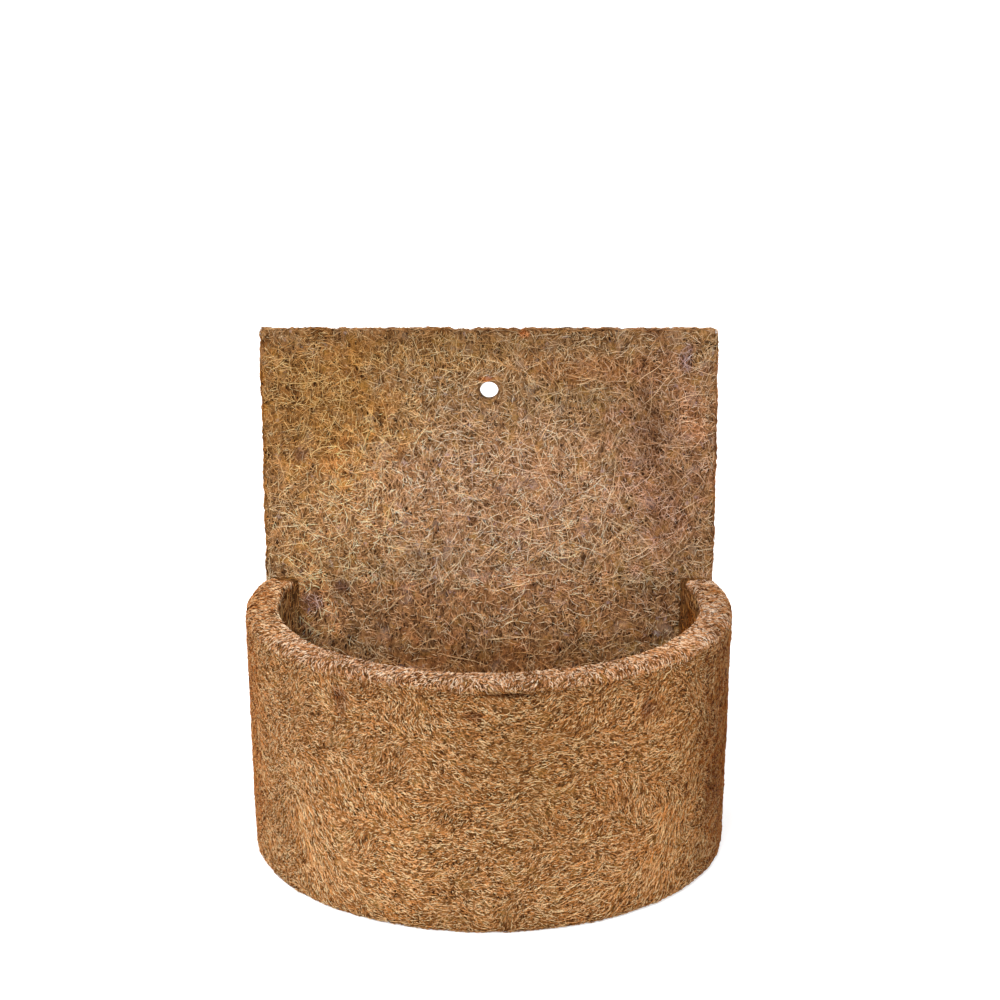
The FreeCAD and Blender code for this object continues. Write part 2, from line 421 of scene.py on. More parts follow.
def flat_paths(rng, start, heading, length, bend, wave, low, high, points):
    """Fibre paths on a flattened surface: (along, across, rise) for each point of each fibre."""
    count = len(start)
    t = np.linspace(-0.5, 0.5, points)
    turn = heading[:, None] + bend[:, None] * t * length[:, None]
    phase = rng.uniform(0, 2 * math.pi, (count, 1))
    turn = turn + wave * np.sin(2 * math.pi * WAVES * t + phase)
    step = (length / (points - 1))[:, None]
    across = np.cumsum(np.cos(turn) * step, axis=1)
    up = np.cumsum(np.sin(turn) * step, axis=1)
    half = points // 2
    across = start[:, :1] + across - across[:, half:half + 1]
    up = start[:, 1:] + up - up[:, half:half + 1]
    crest = rng.uniform(low, high, (count, 1))
    ride = rng.uniform(*CURL_UP, (count, 1)) * MM
    rise = crest - ride * (2 * t) ** 2 * ENDS_DROP + ride * RIPPLE * np.sin(4.0 * math.pi * t + phase * 1.7)
    return np.stack([across, up, rise], axis=-1)


def swirl(points, size, seed, amount):
    """A slowly changing angle over the surface, so that neighbouring fibres lean the same way."""
    return np.array([amount * noise.noise(Vector((x / size, y / size, seed))) for x, y in points])


def bent_tones(rng, count, middle=0.5, spread=0.27):
    return np.clip(rng.normal(middle, spread, count), 0.0, 1.0)


def combed(start, heading, combs):
    """Turns the fibres near each combed place towards its own direction, fanned out a little across it."""
    for along, height, reach, lean, fan in combs:
        away = (start - np.array([along, height])) / reach
        near = fade(np.hypot(away[:, 0], away[:, 1]))
        goal = lean + fan * away[:, 0]
        turn = (goal - heading + 0.5 * math.pi) % math.pi - 0.5 * math.pi
        heading = heading + near * turn
    return heading


def foot_run(height):
    return run_at(FOOT + height)


RIM_PER_DEGREE = 2.29                   # millimetres along the rim for each degree round the bowl


def comb(degrees, height, reach, lean, fan):
    """A combed place: degrees from straight ahead, then height over the foot and reach in millimetres."""
    return degrees * MM * RIM_PER_DEGREE, foot_run(height * MM), reach * MM, math.radians(lean), fan


LOW_COMBS = (
    comb(-47, 42, 24, 112, 0.5), comb(47, 42, 24, 68, 0.5), comb(-40, 18, 26, 125, 0.4),
    comb(40, 18, 26, 55, 0.4), comb(-20, 20, 30, 165, 0.3), comb(20, 20, 30, 15, 0.3),
)
WALL_COMBS = (
    *LOW_COMBS, comb(-35, 120, 14, 125, 0.2), comb(39, 114, 14, 55, 0.2), comb(0, 100, 42, 170, 0.2),
)
UPRIGHT_FROM = 1.15                     # in radians from straight ahead
UPRIGHT_OVER = 0.35
WALL_LAYERS = (                         # name, seed, count, lengths, radii, points, lowest, highest
    ("wall_fibres", 11, 12500, 2.0, 5.2, 0.19, 0.28, 4, -0.25, 0.42),
    ("wall_fine_fibres", 15, 20000, 1.5, 3.3, 0.15, 0.22, 3, -0.30, 0.36),
)


def lumps_at(places, seed, sizes):
    """The boards' lumps for a whole array of points."""
    heights = [lumps(Vector(spot), seed, sizes) for spot in places.reshape(-1, 3)]
    return np.array(heights).reshape(places.shape[:-1])


def on_wall(flat, radius):
    """Lays fibre paths on the wall, riding on its lumps and stopping at the panel and at the foot."""
    angle = flat[:, :, 0] / radius
    ride = lumps_at(wall_point(angle, flat[:, :, 1], 0.0), 2.0, BOARD_LUMPS)
    paths = wall_point(angle, flat[:, :, 1], flat[:, :, 2] + ride - dent_at(angle, flat[:, :, 1]))
    paths[:, :, 1] = np.minimum(paths[:, :, 1], PANEL_FRONT - 0.2 * MM)
    paths[:, :, 2] = np.maximum(paths[:, :, 2], FOOT - 0.2 * MM)
    return paths


def wall_lie(start):
    """The direction that the wall's fibres lie in: along the wall in front, upright at its two ends."""
    upright = np.clip((np.abs(start[:, 0]) / RIM_RADIUS - UPRIGHT_FROM) / UPRIGHT_OVER, 0, 1)
    heading = swirl(start, 24 * MM, 4.2, 2.4) * (1 - upright) + upright * 0.5 * math.pi
    return combed(start, heading, WALL_COMBS)


def stray_fibres(material):
    """A few longer strands that follow the lie of the wall's short fibres."""
    rng = np.random.default_rng(14)
    count = 1500
    crowded = 450
    reach = math.radians(105.0)
    low, high = foot_run(3 * MM), run_at(RIM - RIM_ROUND)
    start = scattered(rng, count, -reach, reach, low, high, RIM_RADIUS)
    crowd = np.array(LOW_COMBS)[rng.integers(0, len(LOW_COMBS), crowded)]
    start[:crowded] = crowd[:, :2] + rng.normal(0, 0.4, (crowded, 2)) * crowd[:, 2:3]
    start[:, 1] = np.clip(start[:, 1], low, high)
    length = rng.uniform(6.0, 15.0, count) * MM
    heading = wall_lie(start) + rng.normal(0, 0.22, count)
    flat = flat_paths(rng, start, heading, length, rng.normal(0, 40, count), 0.2, 0.0, 0.45 * MM, 5)
    flat[:, :, 1] = np.clip(flat[:, :, 1], foot_run(0.0) - 2 * MM, high)
    tones = bent_tones(rng, count, 0.62, 0.24)
    radii = rng.uniform(0.17, 0.25, count)
    paths = on_wall(flat, RIM_RADIUS)
    fibre_piece("wall_stray_fibres", paths, radii, tones, material, ["bowl_wall"])


def wall_fibres(material):
    """The short fibres of the bowl's outside, in three lengths round the bowl and two thicknesses."""
    start_run, end_run = 3 * MM, run_at(RIM - RIM_ROUND) + 2 * MM
    reach = math.radians(107.5)
    ends = np.linspace(-reach, reach, 4)
    for name, seed, count, short, long, thin, thick, points, low, high in WALL_LAYERS:
        rng = np.random.default_rng(seed)
        for side, left, right in zip(("left", "front", "right"), ends, ends[1:]):
            start = scattered(rng, count, left, right, start_run, end_run, RIM_RADIUS)
            heading = wall_lie(start) + rng.normal(0, 0.45, count)
            length = rng.uniform(short, long, count) * MM
            bend = rng.normal(0, 150, count)
            flat = flat_paths(rng, start, heading, length, bend, 0.35, low * MM, high * MM, points)
            flat[:, :, 1] = np.maximum(flat[:, :, 1], 1 * MM)
            tones = bent_tones(rng, count, 0.56, 0.38)
            radii = rng.uniform(thin, thick, count)
            paths = on_wall(flat, RIM_RADIUS)
            fibre_piece(f"{name}_{side}", paths, radii, tones, material, ["bowl_wall"])


def rim_fibres(material):
    """Fibres that cross the rim and roll over its edges."""
    rng = np.random.default_rng(12)
    count = 9500
    low, high = run_at(RIM - RIM_ROUND) + 1 * MM, run_at(RIM - 4 * MM, inside=True)
    reach = math.radians(107.0)
    start = scattered(rng, count, -reach, reach, low, high, RIM_RADIUS)
    heading = swirl(start, 16 * MM, 7.7, 1.6) + rng.normal(0, 0.42, count) + 0.5 * math.pi
    length = rng.uniform(2.2, 5.5, count) * MM
    flat = flat_paths(rng, start, heading, length, rng.normal(0, 120, count), 0.3, -0.30 * MM, 0.45 * MM, 4)
    tones = bent_tones(rng, count, 0.55, 0.41)
    radii = rng.uniform(0.26, 0.38, count)
    fibre_piece("rim_fibres", on_wall(flat, RIM_RADIUS), radii, tones, material, ["bowl_wall"])


def inside_fibres(material):
    """Looser fibres down the inside of the wall."""
    rng = np.random.default_rng(13)
    count = 7500
    low, high = run_at(RIM - 4 * MM, inside=True), run_at(BASE_TOP + 1 * MM, inside=True)
    reach = math.radians(110.0)
    inner = RIM_RADIUS - WALL_THICK
    start = scattered(rng, count, -reach, reach, low, high, inner)
    heading = swirl(start, 38 * MM, 9.1, 4.0) + rng.normal(0, 0.8, count)
    length = rng.uniform(5, 12, count) * MM
    flat = flat_paths(rng, start, heading, length, rng.normal(0, 60, count), 0.3, -0.25 * MM, 0.40 * MM, 4)
    radii = rng.uniform(0.20, 0.29, count)
    tones = bent_tones(rng, count, 0.5, 0.3)
    fibre_piece("inside_fibres", on_wall(flat, inner), radii, tones, material, ["bowl_wall"])


ACROSS, BACK, UP = np.eye(3)
FACES = {                               # where a flat face lies, its two directions and its way out
    "front": ((0, PANEL_FRONT, 0), ACROSS, UP, -BACK),
    "back": ((0, 0, 0), ACROSS, UP, BACK),
    "left": ((-PANEL_HALF, 0, 0), UP, BACK, -ACROSS),
    "right": ((PANEL_HALF, 0, 0), UP, BACK, ACROSS),
    "top": ((0, 0, PANEL_TOP), ACROSS, BACK, UP),
    "base": ((0, 0, BASE_TOP), ACROSS, BACK, UP),
    "underside": ((0, 0, FOOT), ACROSS, BACK, -UP),
}


def on_face(flat, face, seed=1.0, ride=0.8):
    """Lays fibre paths on a flat face, riding on the board's lumps."""
    origin, along, across, out = FACES[face]
    level = np.array(origin) + flat[..., :1] * along + flat[..., 1:2] * across
    height = flat[..., 2] + ride * lumps_at(level, seed, BOARD_LUMPS)
    return level + height[..., None] * out


WITHIN_BOWL = 0.32                      # how many of the front's fibres lie inside the bowl
WITHIN_WIDTH = 0.87                     # how much of the panel's width shows there
SIDE_GAP = 0.5 * MM
FOOT_GAP = 0.4 * MM


def panel_paths(rng, count, length, bend, wave, spread, face, low, high, points):
    """Fibres on one face of the panel that stay inside its edges and off the hole.

    The front is thickest where it shows above the bowl, and bare behind the bowl's wall and base."""
    start = scattered(rng, count, -PANEL_HALF, PANEL_HALF, FOOT, PANEL_TOP)
    if face == "front":
        within = rng.uniform(0, 1, count) < WITHIN_BOWL
        inside = rng.uniform(BASE_TOP, RIM, count)
        start[:, 1] = np.where(within, inside, rng.uniform(RIM - 3 * MM, PANEL_TOP, count))
        start[within, 0] *= WITHIN_WIDTH
    heading = 0.5 * math.pi + swirl(start, 32 * MM, 2.4, 4.0) + rng.normal(0, spread, count)
    flat = flat_paths(rng, start, heading, length, bend, wave, low, high, points)
    across, up = flat[:, :, 0], flat[:, :, 1]
    off_hole = np.hypot(across, up).min(axis=1) > HOLE_RADIUS + 0.3 * MM
    side, foot = PANEL_HALF - SIDE_GAP, FOOT + FOOT_GAP
    top = PANEL_TOP - SIDE_GAP - notch_at(across)
    outside = (np.abs(across) > side) | (up > top) | (up < foot)
    kept = off_hole & (outside.sum(axis=1) < 2)
    flat[:, :, 1] = np.clip(up, foot, top)
    flat[:, :, 0] = np.clip(across, -side, side)
    return on_face(flat[kept], face)


BEDDED = (-0.32 * MM, 0.25 * MM)        # lowest and highest, for the short fibres and for the long ones
LOOSE = (0.05 * MM, 0.42 * MM)
PANEL_LAYERS = (                # name, seed, count, lengths, radii, spread, face, points, curl, wave, tone
    ("panel_mat", 21, 14500, 2.4, 6.5, 0.16, 0.24, 0.9, "front", 4, 0.6, 0.25, 0.48),
    ("panel_mat_upper", 22, 14500, 2.4, 6.5, 0.15, 0.22, 0.9, "front", 4, 0.6, 0.25, 0.56),
    ("panel_fibres", 23, 5500, 6.0, 15.0, 0.12, 0.18, 1.1, "front", 5, 0.7, 0.20, 0.60),
    ("back_fibres", 24, 8000, 4.0, 14.0, 0.17, 0.27, 1.2, "back", 4, 0.8, 0.30, 0.50),
)


def panel_fibres(material, straw):
    for name, seed, count, short, long, thin, thick, spread, face, points, curl, wave, tone in PANEL_LAYERS:
        rng = np.random.default_rng(seed)
        length = rng.uniform(short, long, count) * MM
        bend = rng.normal(0, curl, count) / length
        lie = BEDDED if points == 4 else LOOSE
        paths = panel_paths(rng, count, length, bend, wave, spread, face, *lie, points)
        radii = rng.uniform(thin, thick, len(paths))
        tones = bent_tones(rng, len(paths), tone, 0.32)
        fibre_piece(name, paths, radii, tones, material, ["back_panel"])
    rng = np.random.default_rng(25)
    count = 230
    length = rng.uniform(14.0, 34.0, count) * MM
    bend = rng.normal(0, 0.6, count) / length
    paths = panel_paths(rng, count, length, bend, 0.1, 3.0, "front", 0.25 * MM, 0.50 * MM, STRAW_POINTS)
    paths = np.concatenate([paths, long_straws()])
    radii = rng.uniform(0.12, 0.18, len(paths))
    tones = bent_tones(rng, len(paths), 0.5)
    fibre_piece("panel_straws", paths, radii, tones, straw, ["back_panel"])


STRAW_POINTS = 8
LONG_STRAWS = (                         # both ends and the bow between them, in millimetres from the hole
    (86, -1, 111, -50, 3.0), (103, -1, 110, -40, -1.5), (118, -24, 111, -34, 0.6), (49, -34, 56, -41, -0.5),
    (57, -15, 49, -31, 1.0), (38, -22, 46, -35, 0.8), (69, -25, 77, -37, -0.8), (73, -22, 86, -43, 1.6),
    (-118, 6, -84, 9, -3.2), (-121, 16, -108, 18, 0.7), (-98, 2, -103, -28, 1.8), (-63, -24, -52, -35, 0.8),
    (-107, -33, -113, -40, 0.6), (-19, -20, -17, -64, 1.5), (-8, -25, -9, -58, -1.0), (-62, 3, -77, -52, 2.5),
    (20, -12, 36, -58, -2.0), (-30, -70, 22, -81, 3.0), (55, -66, 92, -96, 2.6), (-95, -60, -70, -98, -2.4),
)


def long_straws():
    """The few long straws that catch the eye, each a shallow bow from end to end."""
    height = 0.45
    t = np.linspace(0.0, 1.0, STRAW_POINTS)
    bows = []
    for x0, z0, x1, z1, bow in LONG_STRAWS:
        run = np.array([x1 - x0, z1 - z0], dtype=float)
        side = np.array([-run[1], run[0]]) / np.hypot(*run)
        middle = np.array([x0, z0]) + t[:, None] * run + (4 * t * (1 - t) * bow)[:, None] * side
        bows.append(np.concatenate([middle, np.full((STRAW_POINTS, 1), height)], axis=1))
    return on_face(np.array(bows) * MM, "front")


CUT_EDGES = (                           # face, count, from, to
    ("left", 1700, FOOT + 3 * MM, PANEL_TOP - 2 * MM),
    ("right", 1700, FOOT + 3 * MM, PANEL_TOP - 2 * MM),
    ("top", 1500, -PANEL_HALF + 2 * MM, PANEL_HALF - 2 * MM),
)


def edge_fibres(material):
    """Fibres that lie along the panel's cut edges."""
    rng = np.random.default_rng(26)
    parts = []
    for face, count, low, high in CUT_EDGES:
        start = scattered(rng, count, low, high, PANEL_FRONT + 0.3 * MM, -0.3 * MM)
        length = rng.uniform(2.5, 7.0, count) * MM
        heading = rng.normal(0, 0.45, count)
        bend = rng.normal(0, 100, count)
        flat = flat_paths(rng, start, heading, length, bend, 0.3, -0.40 * MM, 0.20 * MM, 4)
        flat[:, :, 1] = np.clip(flat[:, :, 1], PANEL_FRONT - 0.1 * MM, 0.1 * MM)
        if face == "top":
            flat[:, :, 2] -= notch_at(flat[:, :, 0])
        paths = on_face(flat, face)
        fray = lumps_at(paths * np.array([1.0, 0.6, 1.0]), 5.0, FRAY) - FRAYED_BACK
        parts.append(paths + fray[..., None] * FACES[face][3])
    paths = np.concatenate(parts)
    radii = rng.uniform(0.15, 0.25, len(paths))
    tones = bent_tones(rng, len(paths), 0.42)
    fibre_piece("panel_edge_fibres", paths, radii, tones, material, ["back_panel"])


def base_fibres(material):
    """Fibres on the base plate, above inside the bowl and below."""
    rng = np.random.default_rng(27)
    radius = BASE_RADIUS - 1 * MM
    for name, face, count, high, ride in (("base_fibres", "base", 3600, 0.35 * MM, 1.0),
                                          ("underside_fibres", "underside", 3000, 0.0, 0.3)):
        start = scattered(rng, count, -radius, radius, AXIS_Y - radius, PANEL_FRONT)
        length = rng.uniform(4.0, 11.0, count) * MM
        heading = rng.uniform(0, math.pi, count)
        bend = rng.normal(0, 70, count)
        flat = flat_paths(rng, start, heading, length, bend, 0.3, -0.25 * MM, high, 4)
        within = np.hypot(flat[:, :, 0], flat[:, :, 1] - AXIS_Y).max(axis=1) < radius
        within &= flat[:, :, 1].max(axis=1) < PANEL_FRONT
        paths = on_face(flat[within], face, 3.0, ride)
        radii = rng.uniform(0.18, 0.27, len(paths))
        tones = bent_tones(rng, len(paths), 0.5, 0.3)
        fibre_piece(name, paths, radii, tones, material, ["bowl_base"])


# -------- materials
def feed(tree, socket, value):
    """Links a socket to another, or sets its value. A colour may come without its alpha."""
    if isinstance(value, bpy.types.NodeSocket):
        tree.links.new(value, socket)
    elif socket.type == "RGBA" and len(value) == 3:
        socket.default_value = (*value, 1.0)
    else:
        socket.default_value = value


def add(tree, kind, inputs=None, **settings):
    made = tree.nodes.new(kind)
    for key, value in settings.items():
        setattr(made, key, value)
    for key, value in (inputs or {}).items():
        feed(tree, made.inputs[key], value)
    return made


def math_of(tree, operation, *values):
    return add(tree, "ShaderNodeMath", dict(enumerate(values)), operation=operation).outputs[0]


def blend_of(tree, factor, one, two, way="MIX", limit=False):
    return add(tree, "ShaderNodeMix", {0: factor, 6: one, 7: two},
               data_type="RGBA", blend_type=way, clamp_result=limit).outputs[2]


def remap(tree, value, low, high, to_low=0.0, to_high=1.0, smooth=False):
    ends = {"Value": value, "From Min": low, "From Max": high, "To Min": to_low, "To Max": to_high}
    way = "SMOOTHSTEP" if smooth else "LINEAR"
    return add(tree, "ShaderNodeMapRange", ends, interpolation_type=way).outputs[0]


def clouds(tree, where, scale, detail, roughness=0.5, distortion=0.0):
    return add(tree, "ShaderNodeTexNoise", {
        "Vector": where, "Scale": scale, "Detail": detail, "Roughness": roughness,
        "Distortion": distortion}).outputs


def emboss(tree, shader, height, strength, distance):
    bump = add(tree, "ShaderNodeBump", {"Height": height, "Strength": strength, "Distance": distance})
    tree.links.new(bump.outputs[0], shader.inputs["Normal"])


def new_group(name, inputs, outputs):
    group = bpy.data.node_groups.new(name, "ShaderNodeTree")
    for label, kind, value in inputs:
        socket = group.interface.new_socket(label, in_out="INPUT", socket_type=kind)
        if value is not None:
            socket.default_value = value
    for label, kind in outputs:
        group.interface.new_socket(label, in_out="OUTPUT", socket_type=kind)
    start = group.nodes.new("NodeGroupInput")
    end = group.nodes.new("NodeGroupOutput")
    return group, start.outputs, end.inputs


def use_group(tree, group, inputs):
    return add(tree, "ShaderNodeGroup", inputs, node_tree=group).outputs


def tangle_group():
    """Matted fibre: thin ridges of several layers of noise, each drawn out along its own direction."""
    group, given, result = new_group(
        "fibre_tangle",
        [("Vector", "NodeSocketVector", None), ("Size", "NodeSocketFloat", 400.0),
         ("Width", "NodeSocketFloat", 0.10)],
        [("Strand", "NodeSocketFloat"), ("Tone", "NodeSocketFloat"), ("Height", "NodeSocketFloat")])
    turns = ((0.3, 0.2, 0.1), (1.1, 0.5, 2.0), (2.3, 1.2, 0.7), (0.6, 2.1, 1.5), (1.7, 0.9, 2.9))
    strand = tone = None
    for k, turn in enumerate(turns):
        spot = add(group, "ShaderNodeMapping", {
            "Vector": given["Vector"], "Rotation": turn, "Location": (0.37 * k, 0.11 * k, 0.23 * k),
            "Scale": (1.0, 0.9, 0.42)})
        field = clouds(group, spot.outputs[0], given["Size"], 1.0, distortion=0.4)
        off = math_of(group, "ABSOLUTE", math_of(group, "SUBTRACT", field[0], 0.5))
        near = math_of(group, "SUBTRACT", 1.0, math_of(group, "DIVIDE", off, given["Width"]))
        ridge = math_of(group, "MAXIMUM", near, 0.0)
        split = add(group, "ShaderNodeSeparateColor", {"Color": field[1]})
        lively = remap(group, split.outputs[1], 0.3, 0.7, 0.25, 1.0)
        one = math_of(group, "MULTIPLY", ridge, lively)
        strand = one if strand is None else math_of(group, "MAXIMUM", strand, one)
        part = math_of(group, "MULTIPLY", split.outputs[2], 0.2)
        tone = part if tone is None else math_of(group, "ADD", tone, part)
    group.links.new(strand, result["Strand"])
    group.links.new(remap(group, tone, 0.4, 0.6), result["Tone"])
    group.links.new(math_of(group, "POWER", strand, 0.7), result["Height"])
    return group


MOTTLES = (                             # name, how many to a metre, where it starts and is full, seed
    ("Cool", 75.0, 0.56, 0.72, 3.0),
    ("Warm", 60.0, 0.50, 0.75, 11.0),
    ("Ochre", 130.0, 0.54, 0.70, 29.0),
    ("Fleck", 210.0, 0.63, 0.72, 41.0),
    ("Dark", 95.0, 0.52, 0.75, 19.0),
)


def mottle_group():
    """Cloudy colour of the whole board: cooler, redder and darker places of different sizes."""
    group, given, result = new_group(
        "felt_mottle", [("Vector", "NodeSocketVector", None)],
        [(label, "NodeSocketFloat") for label, *_ in MOTTLES])
    for label, size, low, high, seed in MOTTLES:
        shift = (seed, seed * 0.3, seed * 0.7)
        spot = add(group, "ShaderNodeMapping", {"Vector": given["Vector"], "Location": shift})
        field = clouds(group, spot.outputs[0], size, 3.0, roughness=0.6)
        group.links.new(remap(group, field[0], low, high, smooth=True), result[label])
    return group


def tone_and_light_group(name, patches):
    """Places on a board that are paler or browner, some for its own tone and others painted light and shade,
    each with its middle, reach, tint and soft edge.
    """
    group, given, result = new_group(
        name, [("Vector", "NodeSocketVector", None)], [("Colour", "NodeSocketColor")])
    ragged = clouds(group, given["Vector"], 110.0, 3.0)
    loose = math_of(group, "MULTIPLY", math_of(group, "SUBTRACT", ragged[0], 0.5), 1.6)
    colour = (1.0, 1.0, 1.0)
    for middle, reach, tint, soft in patches:
        inputs = {"Vector": given["Vector"], "Location": middle, "Scale": reach}
        spot = add(group, "ShaderNodeMapping", inputs, vector_type="TEXTURE")
        far = add(group, "ShaderNodeVectorMath", {0: spot.outputs[0]}, operation="LENGTH").outputs["Value"]
        mask = remap(group, math_of(group, "ADD", far, loose), 1.0 + soft, 1.0 - soft, smooth=True)
        colour = blend_of(group, mask, colour, blend_of(group, 1.0, colour, tint, "MULTIPLY"))
    group.links.new(colour, result["Colour"])
    return group


def new_material(name):
    material = bpy.data.materials.new(name)
    material.use_nodes = True
    tree = material.node_tree
    shader = tree.nodes["Principled BSDF"]
    where = tree.nodes.new("ShaderNodeTexCoord").outputs["Object"]
    return material, tree, shader, where


def tinted(tree, colour, mottle, tints):
    """Lays the mottles over a colour, each with its own tint and strength; the last one darkens."""
    for (label, *_), (*tint, strength) in zip(MOTTLES, tints):
        amount = math_of(tree, "MULTIPLY", mottle[label], strength)
        colour = blend_of(tree, amount, colour, tuple(tint), "MULTIPLY" if label == "Dark" else "MIX")
    return colour


def matted_felt(name, groups, tint_key, gap, body, light, tints):
    material, tree, shader, where = new_material(name)
    tangle = use_group(tree, groups["tangle"], {"Vector": where, "Size": 400.0, "Width": 0.085})
    mottle = use_group(tree, groups["mottle"], {"Vector": where})
    strand = blend_of(tree, tangle["Tone"], body, light)
    # between the drawn strands the board takes the nearly black gap colour: painted shade in the pits of the
    # mat
    colour = blend_of(tree, remap(tree, tangle["Strand"], 0.15, 0.85), gap, strand)
    colour = tinted(tree, colour, mottle, tints)
    # multiplies in the tinted places: the board's own tones and the painted light and shade
    tone_and_light = use_group(tree, groups[tint_key], {"Vector": where})
    colour = blend_of(tree, 1.0, colour, tone_and_light["Colour"], "MULTIPLY", limit=True)
    tree.links.new(colour, shader.inputs["Base Color"])
    emboss(tree, shader, tangle["Height"], 0.8, 0.5 * MM)
    shader.inputs["Roughness"].default_value = 0.85
    shader.inputs["Specular IOR Level"].default_value = 0.05
    return material


REDDER = (1.0, 0.74, 0.50)              # the casts that the reddest and the coolest fibres have
COOLER = (0.90, 1.02, 1.35)


def loose_fibre(name, groups, tint_key, dark, body, light, tints, roughness=0.5, play=0.8):
    material, tree, shader, where = new_material(name)
    tone = add(tree, "ShaderNodeAttribute", attribute_name="tone").outputs["Fac"]
    ramp = tree.nodes.new("ShaderNodeValToRGB")
    ramp.color_ramp.elements[0].color = (*dark, 1.0)
    ramp.color_ramp.elements[1].color = (*light, 1.0)
    ramp.color_ramp.elements.new(0.5).color = (*body, 1.0)
    tree.links.new(tone, ramp.inputs[0])
    mottle = use_group(tree, groups["mottle"], {"Vector": where})
    fine = clouds(tree, where, 1500.0, 2.0)[0]
    cast = add(tree, "ShaderNodeAttribute", attribute_name="cast").outputs["Fac"]
    redder = remap(tree, cast, 0.30, 0.0, 0.0, play)
    cooler = remap(tree, cast, 0.75, 1.0, 0.0, play)
    colour = blend_of(tree, redder, ramp.outputs[0], REDDER, "MULTIPLY")
    greyed = blend_of(tree, 0.55, colour, blend_of(tree, 0.5, dark, light))
    colour = blend_of(tree, cooler, colour, blend_of(tree, 1.0, greyed, COOLER, "MULTIPLY"))
    colour = blend_of(tree, remap(tree, fine, 0.38, 0.66, 0.0, 0.48), colour, dark)
    colour = tinted(tree, colour, mottle, tints)
    # multiplies in the tinted places: the fibres' own tones and the painted light and shade
    tone_and_light = use_group(tree, groups[tint_key], {"Vector": where})
    colour = blend_of(tree, 1.0, colour, tone_and_light["Colour"], "MULTIPLY", limit=True)
    tree.links.new(colour, shader.inputs["Base Color"])
    rough = remap(tree, fine, 0.3, 0.7, roughness - 0.1, roughness + 0.15)
    tree.links.new(rough, shader.inputs["Roughness"])
    shader.inputs["Specular IOR Level"].default_value = 0.06
    emboss(tree, shader, fine, 0.3, 0.1 * MM)
    return material


def latex_film(groups):
    material, tree, shader, where = new_material("cured_latex")
    mottle = use_group(tree, groups["mottle"], {"Vector": where})
    colour = blend_of(tree, mottle["Warm"], (0.55, 0.40, 0.22), (0.40, 0.25, 0.11))
    tree.links.new(colour, shader.inputs["Base Color"])
    field = clouds(tree, where, 500.0, 2.0)[0]
    tree.links.new(remap(tree, field, 0.3, 0.7, 0.35, 0.6), shader.inputs["Roughness"])
    emboss(tree, shader, field, 0.5, 0.2 * MM)
    return material


# -------- stage, light and camera
def lay_floor():
    shape = bmesh.new()
    bmesh.ops.create_grid(shape, x_segments=1, y_segments=1, size=30.0)
    bmesh.ops.translate(shape, verts=shape.verts[:], vec=(0, 0, FOOT - 0.4 * MM))
    floor = place("floor", mesh_from(shape, "floor", smooth=False))
    material, tree, shader, _ = new_material("pale_floor")
    shader.inputs["Base Color"].default_value = (0.80, 0.80, 0.80, 1.0)
    shader.inputs["Roughness"].default_value = 1.0
    shader.inputs["Specular IOR Level"].default_value = 0.0
    shader.inputs["Emission Color"].default_value = (1.0, 1.0, 1.0, 1.0)
    seen = add(tree, "ShaderNodeLightPath").outputs["Is Camera Ray"]
    tree.links.new(math_of(tree, "MULTIPLY", seen, 0.6), shader.inputs["Emission Strength"])
    floor.data.materials.append(material)


LAMPS = (                               # name, strength, how wide it is, then where it stands, in degrees
    ("key", 3.05, 24.0, -26.0, 46.0),
    ("fill", 0.70, 60.0, 55.0, 25.0),
)


def light_studio():
    world = bpy.data.worlds.new("studio")
    bpy.context.scene.world = world
    world.use_nodes = True
    tree = world.node_tree
    plain = tree.nodes["Background"]
    plain.inputs["Color"].default_value = (1.0, 1.0, 1.0, 1.0)
    plain.inputs["Strength"].default_value = 0.58
    white = add(tree, "ShaderNodeBackground", {"Color": (1.0, 1.0, 1.0, 1.0), "Strength": 1.0})
    path = add(tree, "ShaderNodeLightPath")
    seen = path.outputs["Is Camera Ray"]
    for kind in ("Is Glossy Ray", "Is Transmission Ray"):
        seen = math_of(tree, "MAXIMUM", seen, path.outputs[kind])
    mixed = add(tree, "ShaderNodeMixShader", {0: seen, 1: plain.outputs[0], 2: white.outputs[0]})
    tree.links.new(mixed.outputs[0], tree.nodes["World Output"].inputs[0])
    for name, strength, spread, azimuth, height in LAMPS:
        lamp = bpy.data.lights.new(name, "SUN")
        lamp.energy = strength
        lamp.angle = math.radians(spread)
        stand = place(name, lamp)
        side, up = math.radians(azimuth), math.radians(height)
        from_here = Vector((math.sin(side) * math.cos(up), -math.cos(side) * math.cos(up), math.sin(up)))
        stand.rotation_euler = from_here.to_track_quat("Z", "Y").to_euler()


def set_camera():
    lens = bpy.data.cameras.new("camera")
    lens.lens = 93.6
    lens.sensor_width = 36.0
    lens.clip_end = 100.0
    camera = place("camera", lens)
    camera.location = (0.0113, -1.3894, 0.3369)
    camera.rotation_euler = (math.radians(73.91), 0.0, math.radians(0.224))
    bpy.context.scene.camera = camera
    bpy.context.scene.view_settings.view_transform = "Standard"


def patch(x, z, wide, high, tint, soft=0.6, y=PANEL_FRONT, deep=14.0):
    """One tinted place, some for the board's own tone and others painted light and shade: its middle across
    and up, its reach and its tint, in millimetres from the hole.
    """
    return ((x * MM, y, z * MM), (wide * MM, deep * MM, high * MM), tint, soft)


